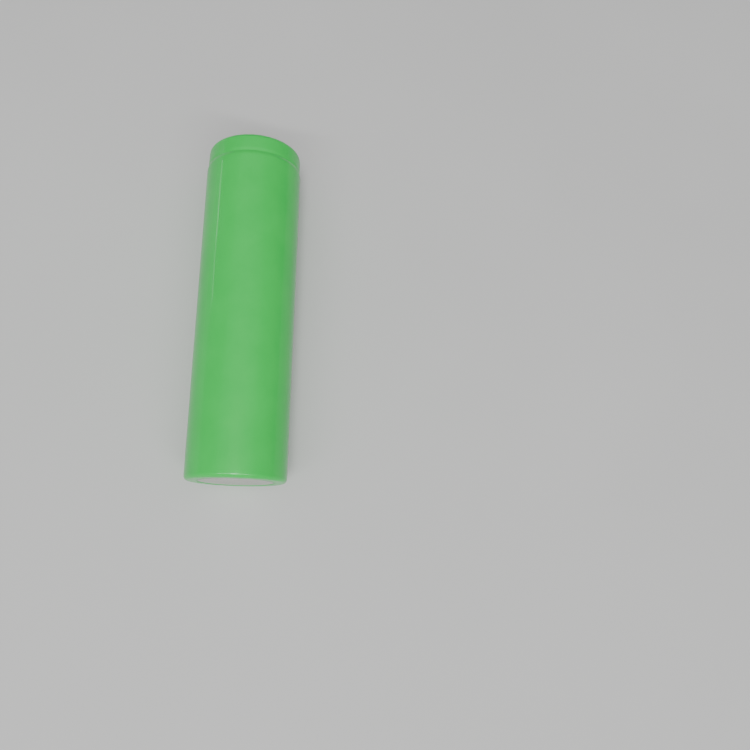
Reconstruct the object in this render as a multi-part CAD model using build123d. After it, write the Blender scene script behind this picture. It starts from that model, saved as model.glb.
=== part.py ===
from build123d import *
import os

# A cylindrical lithium-ion cell of the 18650 size, lying on its side.
#
# Every piece is first drawn upright, turned about the vertical axis, with the outermost point of the
# negative end at height 0. The finished pieces are then laid down together, so that the negative
# terminal faces -Y, the positive terminal faces +Y and the sleeve rests on the plane Z = 0, with the
# middle of the cell above the origin. All lengths are in millimetres.

# --- Outside ---
cell_length = 65.0
cell_diameter = 18.3
cell_radius = cell_diameter / 2

# Room left between curved faces that touch on the real cell.
touch_gap = 0.01

# --- Heat-shrink sleeve ---
sleeve_thickness = 0.10
sleeve_bottom_lip_radius = 6.7
sleeve_top_lip_radius = 7.0
sleeve_bottom_rounding = 0.80
sleeve_top_rounding = 0.95
sleeve_below_cap_face = 0.45
sleeve_dip_depth = 0.10
sleeve_dip_above_bead = 0.05
sleeve_dip_end_above_bead = 0.15
sleeve_shoulder_rounding = 1.5
sleeve_dip_rounding = 0.4

# --- Steel can ---
can_sheet = 0.25
can_radius = cell_radius - sleeve_thickness - touch_gap
can_bottom_rounding = 0.70
contact_land_radius = 6.6
contact_land_height = 0.03
neck_radius = can_radius - 0.20
rim_opening_radius = 7.0
rim_rounding = 0.70
bead_radius = 7.70
bead_half_width_below = 0.65
bead_half_width_above = 0.45
bead_below_vent_disc = 1.65
bead_shoulder_rounding = 0.45
bead_root_rounding = 0.25

# --- Washer and closure, stacked from the top down ---
washer_thickness = 0.25
washer_hole_radius = 5.0
washer_radius = 7.95
gasket_wall = 0.50
gasket_fold_thickness = 0.45
gasket_hole_radius = 6.5
gasket_foot_radius = 8.0
gasket_foot_above_bead = 0.64
gasket_inside_rim = 0.30
gasket_edge_rounding = 0.10
gasket_foot_rounding = 0.25
gasket_fold_rounding = 0.47
cap_sheet = 0.40
cap_top_radius = 4.1
cap_step_radius = 4.6
cap_top_rounding = 0.5
cap_step_rounding = 0.3
vent_opening_count = 4
vent_opening_width = 1.8
vent_opening_height = 0.7
vent_opening_above_flange = 0.62
vent_opening_start_radius = 3.0
ptc_thickness = 0.30
ptc_hole_radius = 4.3

# --- Pressure disc and contact plate of the current-interrupt device ---
vent_sheet = 0.30
vent_dish_depth = 0.50
vent_dish_radius = 4.4
vent_slope_radius = 5.2
vent_dish_rounding = 0.3
score_radius = 4.0
score_gap = 0.05
weld_nub_radius = 0.9
weld_nub_height = 0.20
contact_plate_radius = 6.04
contact_plate_thickness = 0.50
contact_plate_hole_count = 6
contact_plate_hole_radius = 0.55
contact_plate_hole_circle = 3.6
holder_radius = 6.4
holder_hole_radius = 5.4
holder_lip_thickness = 0.20
holder_lip_radius = 5.7

# --- Winding ---
turn_pitch = 0.40
roll_start_radius = 2.0
half_turns = 32
layer_gap = 0.01
anode_thickness = 0.16
cathode_thickness = 0.15
separator_thickness = 0.025
anode_inset = 0.70
cathode_inset = 1.20
closing_tape_thickness = 0.04
closing_tape_width = 45.0
closing_tape_first_angle = 310
closing_tape_first_sweep = 50
closing_tape_second_angle = 12
closing_tape_second_sweep = 45

# --- Insulator discs and centre pin ---
bottom_disc_thickness = 0.25
top_disc_thickness = 0.30
disc_radius = 8.5
bottom_disc_hole_radius = 1.2
top_disc_hole_radius = 1.4
top_disc_vent_radius = 1.0
top_disc_vent_circle = 4.6
top_disc_vent_angles = (-150, -90, -30, 20, 160)
pin_radius = 1.75
pin_wall = 0.25
pin_slit = 0.35
pin_below_roll_top = 0.25

# --- Tabs ---
tab_width = 4.0
tab_thickness = 0.10
tab_slot_width = 5.0
tab_slot_depth = 1.0
tab_past_centre = 2.6
tab_fold_back = 3.2
tab_fold_rounding = 0.45
tab_run_below_plate = 0.90
tab_side_gap = 0.025
cathode_tab_turn = 16
anode_tab_turn = half_turns - 1
tape_thickness = 0.05
cathode_tape_length = 5.0
cathode_tape_past_centre = 1.0
anode_tape_length = 4.0
anode_tape_end = 3.5
anode_tape_width = 4.8

# --- Heights along the upright cell ---
sleeve_top = cell_length - sleeve_below_cap_face
washer_top = sleeve_top - sleeve_thickness
rim_top = washer_top - washer_thickness
gasket_top = rim_top - can_sheet
flange_top = gasket_top - gasket_fold_thickness
ptc_top = flange_top - cap_sheet
vent_top = ptc_top - ptc_thickness
vent_bottom = vent_top - vent_sheet
bead_height = vent_bottom - bead_below_vent_disc
contact_plate_top = vent_bottom - vent_dish_depth - weld_nub_height
contact_plate_bottom = contact_plate_top - contact_plate_thickness
can_floor = sleeve_thickness + can_sheet
bottom_disc_base = can_floor + tab_thickness + tape_thickness
roll_bottom = bottom_disc_base + bottom_disc_thickness
roll_top = 59.45
anode_bottom = roll_bottom + anode_inset
anode_top = roll_top - anode_inset
cathode_bottom = roll_bottom + cathode_inset
cathode_top = roll_top - cathode_inset

# --- Radii inside the neck of the can ---
gasket_radius = neck_radius - can_sheet - touch_gap
gasket_bore_radius = gasket_radius - gasket_wall
stack_radius = gasket_bore_radius - touch_gap

# --- Places of the layers across one turn of the winding, from the inside out ---
inner_separator_place = anode_thickness + layer_gap
cathode_place = inner_separator_place + separator_thickness + layer_gap
outer_separator_place = cathode_place + cathode_thickness + layer_gap


def turned(profile):
    """Turn a flat outline of radius and height about the vertical axis."""
    return revolve(Plane.XZ * profile, axis=Axis.Z)


def pressed(points, roundings, thickness, side):
    """The outline of a pressed sheet that follows a rounded line, with its thickness on one side."""
    line = FilletPolyline(*points, radius=roundings)
    return make_face(offset(line, amount=thickness, side=side))


def disc(radius, low, high):
    """A flat round disc between two heights."""
    upright = (Align.CENTER, Align.CENTER, Align.MIN)
    return Pos(0, 0, low) * Cylinder(radius, high - low, align=upright)


def ring(hole_radius, radius, low, high):
    """A flat ring between two heights."""
    return disc(radius, low, high) - disc(hole_radius, low, high)


def turn_centre(index):
    """Where a half turn of the winding has its centre, along X."""
    return -turn_pitch / 4 if index % 2 == 0 else turn_pitch / 4


def turn_radius(index):
    """The inner radius of a half turn of the winding."""
    return roll_start_radius + index * turn_pitch / 2


def turn_arc(index, place):
    """One half turn, at a distance outwards from its inner radius."""
    start_angle = 0 if index % 2 == 0 else 180
    centre = (turn_centre(index), 0)
    return CenterArc(centre, turn_radius(index) + place, start_angle, 180)


def wound_strip(place, thickness, first, last, low, high):
    """A strip wound into a spiral of half turns."""
    inside = [turn_arc(index, place) for index in range(first, last)]
    outside = [turn_arc(index, place + thickness) for index in range(first, last)]
    start = Line(inside[0] @ 0, outside[0] @ 0)
    end = Line(inside[-1] @ 1, outside[-1] @ 1)
    section = make_face(inside + outside + [start, end])
    return Pos(0, 0, low) * extrude(section, high - low)


def tab_riser(index, place, low, high):
    """The part of a tab that stands on its strip's edge, curved as that turn is."""
    inner_radius = turn_radius(index) + place + tab_side_gap
    band = ring(inner_radius, inner_radius + tab_thickness, low, high)
    direction = 1 if index % 2 == 0 else -1
    half = Pos(0, direction * cell_radius / 2, low) * Box(
        tab_width,
        cell_radius,
        high - low,
        align=(Align.CENTER, Align.CENTER, Align.MIN),
    )
    return Pos(turn_centre(index), 0, 0) * (band & half)


def tab_outer_radius(index, place):
    """The outer radius of a tab's riser, about its turn's centre."""
    return turn_radius(index) + place + tab_side_gap + tab_thickness


def outer_sleeve():
    """Heat-shrink tube: folded over both ends and drawn slightly into the bead."""
    neck = neck_radius + touch_gap + sleeve_thickness
    points = [
        (sleeve_bottom_lip_radius, 0),
        (cell_radius, 0),
        (cell_radius, bead_height - bead_half_width_below),
        (neck - sleeve_dip_depth, bead_height + sleeve_dip_above_bead),
        (neck, bead_height + bead_half_width_above + sleeve_dip_end_above_bead),
        (neck, sleeve_top),
        (sleeve_top_lip_radius, sleeve_top),
    ]
    roundings = [
        sleeve_bottom_rounding,
        sleeve_shoulder_rounding,
        sleeve_dip_rounding,
        sleeve_dip_rounding,
        sleeve_top_rounding,
    ]
    return turned(pressed(points, roundings, sleeve_thickness, Side.LEFT))


def can():
    """Deep-drawn cup with a bead under the closure and a rolled-in rim."""
    points = [
        (0, sleeve_thickness),
        (can_radius, sleeve_thickness),
        (can_radius, bead_height - bead_half_width_below),
        (bead_radius, bead_height),
        (neck_radius, bead_height + bead_half_width_above),
        (neck_radius, rim_top),
        (rim_opening_radius, rim_top),
    ]
    roundings = [
        can_bottom_rounding,
        bead_shoulder_rounding,
        bead_root_rounding,
        bead_shoulder_rounding,
        rim_rounding,
    ]
    cup = turned(pressed(points, roundings, can_sheet, Side.LEFT))
    land = disc(contact_land_radius, sleeve_thickness - contact_land_height, can_floor)
    return cup + land


def positive_cap():
    """Pressed cap with a raised contact face and vent openings round its step."""
    points = [
        (0, cell_length),
        (cap_top_radius, cell_length),
        (cap_step_radius, flange_top),
        (stack_radius, flange_top),
    ]
    cap = turned(pressed(points, [cap_top_rounding, cap_step_rounding], cap_sheet, Side.RIGHT))
    opening = SlotOverall(vent_opening_width, vent_opening_height)
    cutter = extrude(Plane.YZ * opening, cell_radius)
    start = Pos(vent_opening_start_radius, 0, flange_top + vent_opening_above_flange)
    for index in range(vent_opening_count):
        cap -= Rot(Z=index * 360 / vent_opening_count) * start * cutter
    return cap


def sealing_gasket():
    """C-shaped ring: its foot sits on the bead, its fold is clamped under the rolled rim."""
    flank_slope = bead_half_width_above / (neck_radius - bead_radius)
    foot_edge = bead_height + gasket_foot_above_bead
    foot_inner = foot_edge - flank_slope * (gasket_radius - gasket_foot_radius)
    fold_radius = rim_opening_radius - gasket_inside_rim
    points = [
        (gasket_hole_radius, foot_inner),
        (gasket_foot_radius, foot_inner),
        (gasket_radius, foot_edge),
        (gasket_radius, gasket_top),
        (fold_radius, gasket_top),
        (fold_radius, flange_top),
        (gasket_bore_radius, flange_top),
        (gasket_bore_radius, vent_bottom),
        (gasket_hole_radius, vent_bottom),
    ]
    foot = [gasket_edge_rounding, 0, gasket_foot_rounding]
    fold = [gasket_fold_rounding, gasket_edge_rounding]
    bore = [0, 0, 0, gasket_edge_rounding]
    outline = FilletPolyline(*points, radius=foot + fold + bore, close=True)
    return turned(make_face(outline))


def vent_disc():
    """The whole pressure disc, before it parts at its score line."""
    dish_top = vent_top - vent_dish_depth
    points = [
        (0, dish_top),
        (vent_dish_radius, dish_top),
        (vent_slope_radius, vent_top),
        (stack_radius, vent_top),
    ]
    roundings = [vent_dish_rounding, vent_dish_rounding]
    sheet = turned(pressed(points, roundings, vent_sheet, Side.RIGHT))
    nub = Pos(0, 0, contact_plate_top) * Cone(
        weld_nub_radius,
        weld_nub_radius + weld_nub_height,
        weld_nub_height,
        align=(Align.CENTER, Align.CENTER, Align.MIN),
    )
    return sheet + nub


def vent_disc_rim():
    """The clamped part of the pressure disc, outside the score line."""
    return vent_disc() - disc(score_radius + score_gap, roll_top, cell_length)


def vent_disc_centre():
    """The part of the pressure disc that snaps outwards."""
    return vent_disc() & disc(score_radius, roll_top, cell_length)


def cid_insulator_ring():
    """Ring that holds the contact plate in a groove under the vent disc's rim."""
    lip_bottom = contact_plate_bottom - holder_lip_thickness
    upper = ring(holder_hole_radius, holder_radius, contact_plate_top, vent_bottom)
    skirt = ring(contact_plate_radius + touch_gap, holder_radius, lip_bottom, contact_plate_top)
    lip = ring(holder_lip_radius, holder_radius, lip_bottom, contact_plate_bottom)
    return upper + skirt + lip


def cid_plate():
    """Contact plate with a circle of gas holes."""
    plate = disc(contact_plate_radius, contact_plate_bottom, contact_plate_top)
    hole = disc(contact_plate_hole_radius, contact_plate_bottom, contact_plate_top)
    for place in PolarLocations(contact_plate_hole_circle, contact_plate_hole_count):
        plate -= place * hole
    return plate


def roll_closing_tape():
    """Tape over the end of the winding, stepping down onto the turn below."""
    place = outer_separator_place + separator_thickness + layer_gap
    last = half_turns - 1
    top_arc = CenterArc(
        (turn_centre(last), 0),
        turn_radius(last) + place,
        closing_tape_first_angle,
        closing_tape_first_sweep,
    )
    below_arc = CenterArc(
        (turn_centre(last - 1), 0),
        turn_radius(last - 1) + place,
        closing_tape_second_angle,
        closing_tape_second_sweep,
    )
    step = Line(top_arc @ 1, below_arc @ 0)
    section = make_face(
        offset(Wire([top_arc, step, below_arc]), amount=closing_tape_thickness, side=Side.RIGHT)
    )
    low = (roll_bottom + roll_top - closing_tape_width) / 2
    return Pos(0, 0, low) * extrude(section, closing_tape_width)


def centre_pin():
    """Slit tube in the middle of the winding."""
    high = roll_top - pin_below_roll_top
    tube = ring(pin_radius - pin_wall, pin_radius, roll_bottom, high)
    slit = Pos(pin_radius, 0, (roll_bottom + high) / 2) * Box(pin_radius, pin_slit, high)
    return tube - slit


def top_insulator_disc():
    """Perforated disc over the winding, with a slot for the cathode tab."""
    high = roll_top + top_disc_thickness
    plate = disc(disc_radius, roll_top, high) - disc(top_disc_hole_radius, roll_top, high)
    slot_place = tab_outer_radius(cathode_tab_turn, cathode_place)
    plate -= Pos(0, slot_place, roll_top) * Box(
        tab_slot_width, tab_slot_depth, 2 * top_disc_thickness
    )
    for angle in top_disc_vent_angles:
        hole = disc(top_disc_vent_radius, roll_top, high)
        plate -= Rot(Z=angle) * Pos(top_disc_vent_circle, 0, 0) * hole
    return plate


def bottom_insulator_disc():
    """Disc under the winding, notched at its edge for the anode tab."""
    plate = ring(bottom_disc_hole_radius, disc_radius, bottom_disc_base, roll_bottom)
    notch_place = tab_outer_radius(anode_tab_turn, 0)
    notch = Box(tab_slot_width, tab_slot_depth, 2 * bottom_disc_thickness)
    return plate - Pos(0, -notch_place, bottom_disc_base) * notch


def cathode_tab():
    """Ribbon that stands on the cathode, crosses the cell and folds back under the contact plate."""
    run_height = contact_plate_bottom - tab_run_below_plate
    outer_radius = tab_outer_radius(cathode_tab_turn, cathode_place)
    riser = tab_riser(
        cathode_tab_turn, cathode_place, cathode_top, run_height + tab_thickness
    )
    points = [
        (cell_radius, run_height),
        (-tab_fold_back, run_height),
        (-tab_fold_back, contact_plate_bottom),
        (tab_past_centre, contact_plate_bottom),
    ]
    roundings = [tab_fold_rounding - touch_gap, tab_fold_rounding - touch_gap]
    outline = pressed(points, roundings, tab_thickness, Side.RIGHT)
    ribbon = extrude(Plane.YZ * outline, tab_width / 2, both=True)
    reach = disc(outer_radius, roll_top, cell_length)
    return riser + Pos(turn_centre(cathode_tab_turn), 0, 0) * (ribbon & reach)


def cathode_tab_tape():
    """Tape wrapped once round the ribbon where it crosses the cell."""
    middle = contact_plate_bottom - tab_run_below_plate + tab_thickness / 2
    slack = 2 * touch_gap
    outer = Box(
        tab_width + slack + 2 * tape_thickness,
        cathode_tape_length,
        tab_thickness + slack + 2 * tape_thickness,
    )
    inner = Box(tab_width + slack, cathode_tape_length, tab_thickness + slack)
    place = Pos(turn_centre(cathode_tab_turn), cathode_tape_past_centre, middle)
    return place * (outer - inner)


def anode_tab():
    """Ribbon from the anode's outer turn to the middle of the can's floor."""
    outer_radius = tab_outer_radius(anode_tab_turn, 0)
    riser = tab_riser(anode_tab_turn, 0, can_floor, anode_bottom)
    length = outer_radius + tab_past_centre
    run = Pos(0, tab_past_centre, can_floor) * Box(
        tab_width, length, tab_thickness, align=(Align.CENTER, Align.MAX, Align.MIN)
    )
    run &= disc(outer_radius, 0, roll_bottom)
    return riser + Pos(turn_centre(anode_tab_turn), 0, 0) * run


def anode_tab_tape():
    """Tape between the ribbon on the can's floor and the bottom disc."""
    low = can_floor + tab_thickness
    return Pos(turn_centre(anode_tab_turn), -anode_tape_end, low) * Box(
        anode_tape_width,
        anode_tape_length,
        tape_thickness,
        align=(Align.CENTER, Align.MAX, Align.MIN),
    )


pieces = {
    "outer_sleeve": outer_sleeve(),
    "top_insulating_washer": ring(washer_hole_radius, washer_radius, rim_top, washer_top),
    "can": can(),
    "positive_cap": positive_cap(),
    "sealing_gasket": sealing_gasket(),
    "ptc_ring": ring(ptc_hole_radius, stack_radius, vent_top, ptc_top),
    "vent_disc_rim": vent_disc_rim(),
    "vent_disc_centre": vent_disc_centre(),
    "cid_insulator_ring": cid_insulator_ring(),
    "cid_plate": cid_plate(),
    "anode_strip": wound_strip(
        0, anode_thickness, 1, half_turns, anode_bottom, anode_top
    ),
    "inner_separator": wound_strip(
        inner_separator_place, separator_thickness, 0, half_turns, roll_bottom, roll_top
    ),
    "cathode_strip": wound_strip(
        cathode_place, cathode_thickness, 2, half_turns - 1, cathode_bottom, cathode_top
    ),
    "outer_separator": wound_strip(
        outer_separator_place, separator_thickness, 0, half_turns, roll_bottom, roll_top
    ),
    "roll_closing_tape": roll_closing_tape(),
    "centre_pin": centre_pin(),
    "top_insulator_disc": top_insulator_disc(),
    "bottom_insulator_disc": bottom_insulator_disc(),
    "cathode_tab": cathode_tab(),
    "cathode_tab_tape": cathode_tab_tape(),
    "anode_tab": anode_tab(),
    "anode_tab_tape": anode_tab_tape(),
}

# Laying the cell down turns its upright axis onto +Y.
lay_down = Pos(0, -cell_length / 2, cell_radius) * Rot(X=-90)

os.makedirs("parts", exist_ok=True)
for name, piece in pieces.items():
    export_step(lay_down * piece, f"parts/{name}.step")
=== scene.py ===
"""The looks of the cylindrical battery cell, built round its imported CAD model.

The cell lies on a pale floor with its axis along Y: the negative end faces -Y and the positive end
faces +Y. Everything is in metres, in the row frame of the CAD.
"""

import math

import bpy
from mathutils import Matrix, Vector, noise


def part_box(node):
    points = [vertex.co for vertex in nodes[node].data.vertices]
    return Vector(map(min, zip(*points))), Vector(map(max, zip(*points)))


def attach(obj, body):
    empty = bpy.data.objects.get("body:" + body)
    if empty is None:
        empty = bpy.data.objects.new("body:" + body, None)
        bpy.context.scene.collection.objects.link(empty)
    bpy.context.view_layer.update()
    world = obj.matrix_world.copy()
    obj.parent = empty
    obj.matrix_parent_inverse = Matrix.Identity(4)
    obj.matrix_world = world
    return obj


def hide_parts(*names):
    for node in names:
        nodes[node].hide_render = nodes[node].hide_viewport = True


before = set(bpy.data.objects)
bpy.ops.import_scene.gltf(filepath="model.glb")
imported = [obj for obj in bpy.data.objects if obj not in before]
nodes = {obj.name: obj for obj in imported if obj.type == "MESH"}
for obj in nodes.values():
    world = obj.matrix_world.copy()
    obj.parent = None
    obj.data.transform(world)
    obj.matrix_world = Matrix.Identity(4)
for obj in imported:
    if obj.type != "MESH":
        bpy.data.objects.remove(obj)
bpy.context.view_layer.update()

MM = 0.001

# --- Places taken from the frame ---
sleeve_low, sleeve_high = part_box("outer_sleeve")
cell_radius = (sleeve_high.x - sleeve_low.x) / 2
axis_height = (sleeve_high.z + sleeve_low.z) / 2
negative_end = sleeve_low.y
sleeve_length = sleeve_high.y - sleeve_low.y

# --- The heat-shrink sleeve, as part.py draws it ---
sleeve_sheet = 0.10 * MM
bottom_lip_radius = 6.7 * MM
top_lip_radius = 7.0 * MM
bottom_rounding = 0.80 * MM
top_rounding = 0.95 * MM
neck_radius = cell_radius - 0.20 * MM
bead_height = 60.85 * MM
dip_start = bead_height - 0.65 * MM
dip_bottom = bead_height + 0.05 * MM
dip_end = bead_height + 0.60 * MM
dip_depth = 0.10 * MM
shoulder_rounding = 1.5 * MM
bead_rounding = 0.4 * MM

# --- How the film differs from a turned shape ---
# A fineness sets how many swings of noise go round the cell. Along it, a swing takes about the length
# divided by the fineness.
broad_wave_depth = 0.012 * MM
broad_wave_length = 11 * MM
broad_wave_fineness = 1.4
fine_wave_depth = 0.004 * MM
fine_wave_length = 9 * MM
fine_wave_fineness = 6.0
ripple_count = 46
ripple_depth = 0.035 * MM
ripple_fineness = 9.0
fold_width = cell_radius - 1 * MM - bottom_lip_radius
rim_dent_depth = 0.035 * MM
rim_dent_reach = 1.2 * MM
rim_dent_length = 4 * MM
rim_dent_fineness = 15.0
lip_wander_depth = 0.22 * MM
lip_wander_fineness = 1.7
crease_angle = math.radians(-51)
crease_angles = (crease_angle, crease_angle + math.pi)
crease_width = math.radians(0.55)
crease_height = 0.030 * MM
crease_wander = math.radians(0.5)
crease_wander_length = 14 * MM
crease_fade_height = 30 * MM
crease_fade_length = 3 * MM
crease_least = 0.25

# --- The sleeve's mesh ---
round_steps = 240
ring_step = 1.0 * MM
arc_step = math.radians(6)


# ---------------------------------------------------------------------------------------------
# Shapes
# ---------------------------------------------------------------------------------------------


def on_axis(radius, height, angle):
    """The point at a radius, a height from the negative end and an angle about the cell's axis.

    Angle 0 is the top of the lying cell, and positive angles turn towards +X.
    """
    x = radius * math.sin(angle)
    z = axis_height + radius * math.cos(angle)
    return Vector((x, negative_end + height, z))


def straight(start, end, step):
    """Points from start up to, and not with, end, no further apart than step."""
    count = max(1, math.ceil((end - start).length / step))
    return [start.lerp(end, index / count) for index in range(count)]


def rounded_line(corners, roundings, step):
    """A line through the corners, each inner one rounded to its radius, as a list of points."""
    points = []
    start = corners[0]
    for index, rounding in enumerate(roundings):
        corner = corners[index + 1]
        back = (start - corner).normalized()
        ahead = (corners[index + 2] - corner).normalized()
        between = back.angle(ahead)
        reach = rounding / math.tan(between / 2)
        first = corner + back * reach
        centre = corner + (back + ahead).normalized() * rounding / math.sin(between / 2)
        points += straight(start, first, step)
        spoke = first - centre
        turn = math.pi - between
        if back.cross(ahead) > 0:
            turn = -turn
        count = max(2, math.ceil(abs(turn) / arc_step))
        for part in range(count):
            angle = turn * part / count
            cosine = math.cos(angle)
            sine = math.sin(angle)
            points.append(
                centre
                + Vector((spoke.x * cosine - spoke.y * sine, spoke.x * sine + spoke.y * cosine))
            )
        start = corner + ahead * reach
    points += straight(start, corners[-1], step)
    points.append(corners[-1])
    return points


def inward_normals(points):
    """For each point of a line, the unit vector to its left, which is into the cell."""
    normals = []
    for index in range(len(points)):
        before = points[max(index - 1, 0)]
        after = points[min(index + 1, len(points) - 1)]
        along = (after - before).normalized()
        normals.append(Vector((-along.y, along.x)))
    return normals


def turned_mesh(name, rings):
    """A closed skin from rings of points, equal in number, with the last ring joined to the first."""
    count = len(rings[0])
    vertices = [point for ring in rings for point in ring]
    faces = []
    for index in range(len(rings)):
        low = index * count
        high = ((index + 1) % len(rings)) * count
        for side in range(count):
            next_side = (side + 1) % count
            faces.append((low + side, low + next_side, high + next_side, high + side))
    mesh = bpy.data.meshes.new(name)
    mesh.from_pydata(vertices, [], faces)
    mesh.polygons.foreach_set("use_smooth", [True] * len(faces))
    mesh.update()
    piece = bpy.data.objects.new(name, mesh)
    bpy.context.scene.collection.objects.link(piece)
    return piece


# ---------------------------------------------------------------------------------------------
# Material parts
# ---------------------------------------------------------------------------------------------

# Most of a noise texture's values lie between these two.
noise_low = 0.3
noise_high = 0.7


class Surface:
    """A procedural material: a Principled shader and the textures that drive it."""

    def __init__(self, name, metallic=0.0):
        self.material = bpy.data.materials.new(name)
        self.material.use_nodes = True
        self.tree = self.material.node_tree
        self.shader = self.tree.nodes["Principled BSDF"]
        self.shader.inputs["Metallic"].default_value = metallic
        self.place = self.tree.nodes.new("ShaderNodeTexCoord").outputs["Object"]

    def set(self, socket, value):
        self.shader.inputs[socket].default_value = value

    def stretched(self, scale=(1, 1, 1), move=(0, 0, 0)):
        """Object coordinates, moved and then scaled along each axis."""
        shift = self.tree.nodes.new("ShaderNodeVectorMath")
        shift.operation = "ADD"
        shift.inputs[1].default_value = move
        self.tree.links.new(self.place, shift.inputs[0])
        stretch = self.tree.nodes.new("ShaderNodeVectorMath")
        stretch.operation = "MULTIPLY"
        stretch.inputs[1].default_value = scale
        self.tree.links.new(shift.outputs[0], stretch.inputs[0])
        return stretch.outputs[0]

    def noise(self, size, detail, stretch=(1, 1, 1), distortion=0.0):
        """Cloudy noise from 0 to 1 with blotches about size metres across."""
        texture = self.tree.nodes.new("ShaderNodeTexNoise")
        texture.inputs["Scale"].default_value = 1 / size
        texture.inputs["Detail"].default_value = detail
        texture.inputs["Distortion"].default_value = distortion
        self.tree.links.new(self.stretched(stretch), texture.inputs["Vector"])
        return texture.outputs[0]

    def rings(self, spacing):
        """Uneven circles about the cell's axis, as turning or deep drawing leaves."""
        texture = self.tree.nodes.new("ShaderNodeTexWave")
        texture.wave_type = "RINGS"
        texture.rings_direction = "Y"
        # The texture has 20 radians of its sine wave in one unit of length.
        texture.inputs["Scale"].default_value = 2 * math.pi / (20 * spacing)
        texture.inputs["Distortion"].default_value = 2.0
        texture.inputs["Detail"].default_value = 3.0
        texture.inputs["Detail Scale"].default_value = 0.4
        centred = self.stretched(move=(0, 0, -axis_height))
        self.tree.links.new(centred, texture.inputs["Vector"])
        return texture.outputs[1]

    def pores(self, size):
        """Small round cells, from 0 at each centre."""
        texture = self.tree.nodes.new("ShaderNodeTexVoronoi")
        texture.inputs["Scale"].default_value = 1 / size
        self.tree.links.new(self.place, texture.inputs["Vector"])
        return texture.outputs["Distance"]

    def colour(self, value, first, second):
        """Base colour that runs from first to second as the texture's value rises."""
        ramp = self.tree.nodes.new("ShaderNodeValToRGB")
        ramp.color_ramp.elements[0].position = noise_low
        ramp.color_ramp.elements[0].color = (*first, 1)
        ramp.color_ramp.elements[1].position = noise_high
        ramp.color_ramp.elements[1].color = (*second, 1)
        self.tree.links.new(value, ramp.inputs[0])
        self.tree.links.new(ramp.outputs[0], self.shader.inputs["Base Color"])

    def roughness(self, value, low, high):
        """Roughness that runs from low to high as the texture's value rises."""
        mapping = self.tree.nodes.new("ShaderNodeMapRange")
        mapping.inputs["From Min"].default_value = noise_low
        mapping.inputs["From Max"].default_value = noise_high
        mapping.inputs["To Min"].default_value = low
        mapping.inputs["To Max"].default_value = high
        self.tree.links.new(value, mapping.inputs["Value"])
        self.tree.links.new(mapping.outputs["Result"], self.shader.inputs["Roughness"])

    def relief(self, *layers):
        """Fine surface relief from pairs of a texture's value and its depth in metres."""
        normal = None
        for value, depth in layers:
            bump = self.tree.nodes.new("ShaderNodeBump")
            bump.inputs["Distance"].default_value = depth
            self.tree.links.new(value, bump.inputs["Height"])
            if normal is not None:
                self.tree.links.new(normal, bump.inputs["Normal"])
            normal = bump.outputs["Normal"]
        self.tree.links.new(normal, self.shader.inputs["Normal"])


def shrink_film():
    """Green PVC shrink film: semi-gloss, with the faint unevenness of a drawn-down tube."""
    film = Surface("shrink_sleeve")
    clouds = film.noise(6 * MM, detail=4)
    grain = film.noise(0.35 * MM, detail=3)
    film.colour(clouds, (0.008, 0.54, 0.068), (0.014, 0.58, 0.076))
    film.roughness(grain, 0.34, 0.42)
    film.set("Specular IOR Level", 0.25)
    film.set("Coat Weight", 0.5)
    film.set("Coat Roughness", 0.06)
    film.set("Coat IOR", 1.4)
    long_waves = film.noise(2.5 * MM, detail=2, stretch=(1, 0.4, 1))
    film.relief((long_waves, 0.015 * MM), (grain, 0.0025 * MM))
    return film.material


def metal(name, dark, light, roughness, ring_spacing=None):
    """Plain metal: fine grain and, where it was turned or drawn, circles about the axis."""
    surface = Surface(name, metallic=1.0)
    speckle = surface.noise(0.25 * MM, detail=4)
    clouds = surface.noise(4 * MM, detail=3)
    surface.colour(clouds, dark, light)
    surface.roughness(speckle, roughness - 0.06, roughness + 0.06)
    layers = [(speckle, 0.0012 * MM)]
    if ring_spacing is not None:
        layers.append((surface.rings(ring_spacing), 0.0010 * MM))
    surface.relief(*layers)
    return surface.material


def plastic(name, dark, light, roughness):
    """Moulded or sheet plastic with a fine grain."""
    surface = Surface(name)
    speckle = surface.noise(0.3 * MM, detail=4)
    surface.colour(surface.noise(3 * MM, detail=3), dark, light)
    surface.roughness(speckle, roughness - 0.05, roughness + 0.05)
    surface.relief((speckle, 0.003 * MM))
    return surface.material


def fibre_board(name, dark, light):
    """Pressed fibre board: matte, with short fibres in its face."""
    surface = Surface(name)
    fibres = surface.noise(0.35 * MM, detail=6, stretch=(1, 1, 2.5), distortion=1.5)
    surface.colour(fibres, dark, light)
    surface.roughness(fibres, 0.80, 0.95)
    surface.relief((fibres, 0.012 * MM))
    return surface.material


def coated_foil(name, dark, light):
    """Foil under a rolled coat of powder: matte and very fine."""
    surface = Surface(name)
    powder = surface.pores(0.12 * MM)
    surface.colour(surface.noise(1.5 * MM, detail=5), dark, light)
    surface.roughness(powder, 0.70, 0.85)
    surface.relief((powder, 0.003 * MM))
    return surface.material


# ---------------------------------------------------------------------------------------------
# Materials by slot
# ---------------------------------------------------------------------------------------------

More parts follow.
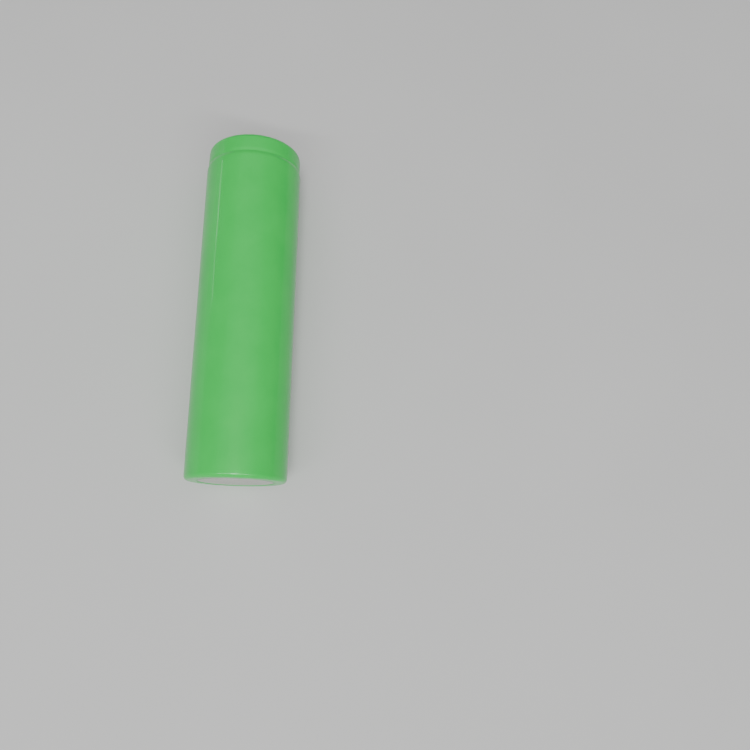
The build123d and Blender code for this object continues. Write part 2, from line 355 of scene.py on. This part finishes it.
materials = {
    "shrink_sleeve": shrink_film(),
    "washer_fibre": fibre_board("washer_fibre", (0.66, 0.64, 0.58), (0.84, 0.83, 0.78)),
    "nickel_plated_steel": metal(
        "nickel_plated_steel", (0.50, 0.49, 0.46), (0.60, 0.59, 0.56), 0.32, ring_spacing=0.35 * MM
    ),
    "nickel_plated_cap": metal(
        "nickel_plated_cap", (0.56, 0.55, 0.52), (0.66, 0.65, 0.62), 0.28, ring_spacing=0.5 * MM
    ),
    "gasket_plastic": plastic("gasket_plastic", (0.018, 0.018, 0.019), (0.030, 0.030, 0.031), 0.45),
    "ptc_composite": plastic("ptc_composite", (0.04, 0.04, 0.042), (0.07, 0.07, 0.072), 0.6),
    "vent_aluminium": metal("vent_aluminium", (0.70, 0.70, 0.72), (0.80, 0.80, 0.82), 0.36),
    "insulator_plastic": plastic("insulator_plastic", (0.58, 0.55, 0.46), (0.68, 0.65, 0.56), 0.5),
    "plate_aluminium": metal("plate_aluminium", (0.64, 0.64, 0.66), (0.74, 0.74, 0.76), 0.42),
    "graphite_coated_copper": coated_foil(
        "graphite_coated_copper", (0.022, 0.022, 0.024), (0.040, 0.040, 0.043)
    ),
    "separator_film": plastic("separator_film", (0.74, 0.74, 0.72), (0.84, 0.84, 0.82), 0.55),
    "oxide_coated_aluminium": coated_foil(
        "oxide_coated_aluminium", (0.014, 0.014, 0.015), (0.028, 0.028, 0.030)
    ),
    "closing_tape": plastic("closing_tape", (0.02, 0.10, 0.30), (0.03, 0.13, 0.36), 0.3),
    "pin_steel": metal("pin_steel", (0.48, 0.48, 0.49), (0.58, 0.58, 0.59), 0.35),
    "disc_plastic": plastic("disc_plastic", (0.70, 0.70, 0.66), (0.80, 0.80, 0.76), 0.55),
    "tab_aluminium": metal("tab_aluminium", (0.70, 0.70, 0.72), (0.80, 0.80, 0.82), 0.34),
    "tab_tape": plastic("tab_tape", (0.36, 0.16, 0.02), (0.46, 0.22, 0.03), 0.3),
    "tab_nickel": metal("tab_nickel", (0.52, 0.50, 0.46), (0.60, 0.58, 0.54), 0.33),
}

for node in nodes.values():
    for material_slot in node.material_slots:
        material_slot.material = materials[material_slot.material.name]


# ---------------------------------------------------------------------------------------------
# Sleeve
# ---------------------------------------------------------------------------------------------


def round_noise(angle, along, fineness, seed):
    """Smooth noise from about -1 to 1 that closes up round the cell."""
    spot = Vector((math.sin(angle), math.cos(angle), along)) * fineness
    return noise.noise(spot + Vector((seed, seed * 0.7, 0)))


def film_waves(angle, height):
    """How far the film lies under its widest, in metres: slow waves along the tube and round it."""
    broad = round_noise(angle, height / broad_wave_length, broad_wave_fineness, seed=2.3)
    fine = round_noise(angle, height / fine_wave_length, fine_wave_fineness, seed=7.1)
    return broad_wave_depth * (0.5 + 0.5 * broad) + fine_wave_depth * (0.5 + 0.5 * fine)


def fold_ripples(angle, seed):
    """How deep the gathered film dips where it is folded over an end, in metres."""
    gathered = 0.5 + 0.5 * round_noise(angle, 0, ripple_fineness, seed)
    drift = 4 * round_noise(angle, 0, 2.0, seed + 5)
    tight = 0.5 + 0.5 * math.sin(angle * ripple_count + drift)
    return ripple_depth * gathered * (0.4 + 0.6 * tight)


def rim_dents(angle, height):
    """How deep the film's small dents are where it turns over either end, in metres."""
    near_end = math.exp(-min(height, sleeve_length - height) / rim_dent_reach)
    dents = round_noise(angle, height / rim_dent_length, rim_dent_fineness, seed=6.6)
    return rim_dent_depth * near_end * (0.5 + 0.5 * dents)


def crease(angle, height):
    """How far the tube's two flattening creases stand out of the film, in metres.

    They are low towards the negative end, and rise to full height about crease_fade_height.
    """
    wander = crease_wander * round_noise(0, height / crease_wander_length, 1.0, seed=4.4)
    stand = 0
    for line in crease_angles:
        off = math.remainder(angle - line - wander, 2 * math.pi) / crease_width
        stand += math.exp(-off * off)
    full = 1 / (1 + math.exp((crease_fade_height - height) / crease_fade_length))
    return crease_height * min(stand, 1) * (crease_least + (1 - crease_least) * full)


def sleeve_angles():
    """Angles round the sleeve: even steps, with finer ones across the two creases."""
    angles = [2 * math.pi * index / round_steps for index in range(round_steps)]
    reach = 2
    steps_per_width = 3
    fine = [
        crease_width * (index / steps_per_width - reach)
        for index in range(2 * reach * steps_per_width + 1)
    ]
    near = (reach + 0.1) * crease_width
    for line in crease_angles:
        angles = [a for a in angles if abs(math.remainder(a - line, 2 * math.pi)) > near]
        angles += [(line + off) % (2 * math.pi) for off in fine]
    return sorted(angles)


def build_sleeve():
    """The shrink tube as one closed skin: outer face, cut edge, inner face and cut edge."""
    corners = [
        Vector((bottom_lip_radius, 0)),
        Vector((cell_radius, 0)),
        Vector((cell_radius, dip_start)),
        Vector((neck_radius - dip_depth, dip_bottom)),
        Vector((neck_radius, dip_end)),
        Vector((neck_radius, sleeve_length)),
        Vector((top_lip_radius, sleeve_length)),
    ]
    roundings = [bottom_rounding, shoulder_rounding, bead_rounding, bead_rounding, top_rounding]
    outer = rounded_line(corners, roundings, ring_step)
    normals = inward_normals(outer)
    angles = sleeve_angles()
    outer_rings = []
    inner_rings = []
    for point, inward in zip(outer, normals):
        # 1 at the bottom's cut edge, nearly that at the top's, and 0 on the barrel.
        folded = 1 - min(1, (point.x - bottom_lip_radius) / fold_width)
        at_bottom = point.y < sleeve_length / 2
        ripple_seed = 1.0 if at_bottom else 2.0
        lip_seed = 9 if at_bottom else 3
        outer_ring = []
        inner_ring = []
        for angle in angles:
            sink = film_waves(angle, point.y) - crease(angle, point.y) * (1 - folded)
            sink += rim_dents(angle, point.y)
            sink += folded * fold_ripples(angle, ripple_seed)
            # The cut edge wanders, and the fold is stretched or drawn in with it.
            lip = round_noise(angle, 0, lip_wander_fineness, lip_seed)
            draw = folded ** 2 * lip_wander_depth * lip
            low = point + inward * max(sink, 0) + Vector((draw, 0))
            deep = point + inward * sleeve_sheet + Vector((draw, 0))
            outer_ring.append(on_axis(low.x, low.y, angle))
            inner_ring.append(on_axis(deep.x, deep.y, angle))
        outer_rings.append(outer_ring)
        inner_rings.append(inner_ring)
    sleeve = turned_mesh("shrink_sleeve", outer_rings + inner_rings[::-1])
    sleeve.data.materials.append(materials["shrink_sleeve"])
    return sleeve


sleeve = build_sleeve()
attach(sleeve, "cell")
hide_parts("outer_sleeve")


# ---------------------------------------------------------------------------------------------
# Floor, light and camera
# ---------------------------------------------------------------------------------------------

scene = bpy.context.scene
floor_size = 24.0


def build_floor():
    """A wide, pale, plain floor."""
    mesh = bpy.data.meshes.new("floor")
    half = floor_size / 2
    mesh.from_pydata(
        [(-half, -half, 0), (half, -half, 0), (half, half, 0), (-half, half, 0)], [], [(0, 1, 2, 3)]
    )
    floor = bpy.data.objects.new("floor", mesh)
    scene.collection.objects.link(floor)
    paper = Surface("floor_paper")
    clouds = paper.noise(0.05, detail=3)
    paper.colour(clouds, (0.53, 0.53, 0.525), (0.55, 0.55, 0.545))
    paper.roughness(clouds, 0.75, 0.85)
    mesh.materials.append(paper.material)
    return floor


def area_light(name, place, width, height, power, beam=math.pi):
    """A rectangular soft light at a place, facing the cell's middle, that shines within an angle."""
    data = bpy.data.lights.new(name, "AREA")
    data.shape = "RECTANGLE"
    data.size = width
    data.size_y = height
    data.energy = power
    data.spread = beam
    light = bpy.data.objects.new(name, data)
    scene.collection.objects.link(light)
    light.location = place
    towards = Vector(middle) - Vector(place)
    light.rotation_euler = towards.to_track_quat("-Z", "Y").to_euler()
    light.visible_camera = False


def soft_sun(name, lean, roll, spread, strength):
    """Even light over the whole floor, from overhead, leaning towards the front and to one side."""
    data = bpy.data.lights.new(name, "SUN")
    data.energy = strength
    data.angle = spread
    sun = bpy.data.objects.new(name, data)
    scene.collection.objects.link(sun)
    sun.rotation_euler = (lean, roll, 0)


middle = (0, 0, axis_height)

build_floor()
soft_sun(
    "key_light",
    lean=math.radians(16),
    roll=math.radians(-5),
    spread=math.radians(20),
    strength=2.1,
)
area_light("overhead_light", (-0.10, 0.05, 0.70), width=1.00, height=1.00, power=0.8)
area_light("front_strip", (-0.03, -0.26, 0.38), width=0.60, height=0.03, power=1.30)
# A narrow beam keeps the floor beside this low strip from glowing.
area_light(
    "left_strip",
    (-0.34, 0.165, 0.030),
    width=0.10,
    height=0.006,
    power=0.0028,
    beam=math.radians(60),
)

world = bpy.data.worlds.new("studio")
world.use_nodes = True
background = world.node_tree.nodes["Background"]
background.inputs["Color"].default_value = (0.80, 0.81, 0.82, 1)
background.inputs["Strength"].default_value = 0.24
scene.world = world

# The camera stands in front of and above the cell. It looks straight down when it isn't turned, with
# +Y up in the picture. camera_turn is its turn from there: its direction is the axis turned about, and
# its length is the angle in degrees.
camera_place = Vector((0, -44.1, 131.7)) * MM + Vector(middle)
camera_turn = Vector((14.19, -8.85, 2.43))
focal_length_in_pixels = 724.6
picture_width_in_pixels = 750

camera_data = bpy.data.cameras.new("camera")
camera = bpy.data.objects.new("camera", camera_data)
scene.collection.objects.link(camera)
camera_data.sensor_width = 36.0
camera_data.lens = camera_data.sensor_width * focal_length_in_pixels / picture_width_in_pixels
camera_data.clip_start = 5 * MM
camera_data.shift_x = 0.0327
camera_data.shift_y = -0.0103
turn = Matrix.Rotation(math.radians(camera_turn.length), 4, camera_turn.normalized())
camera.matrix_world = Matrix.Translation(camera_place) @ turn
scene.camera = camera
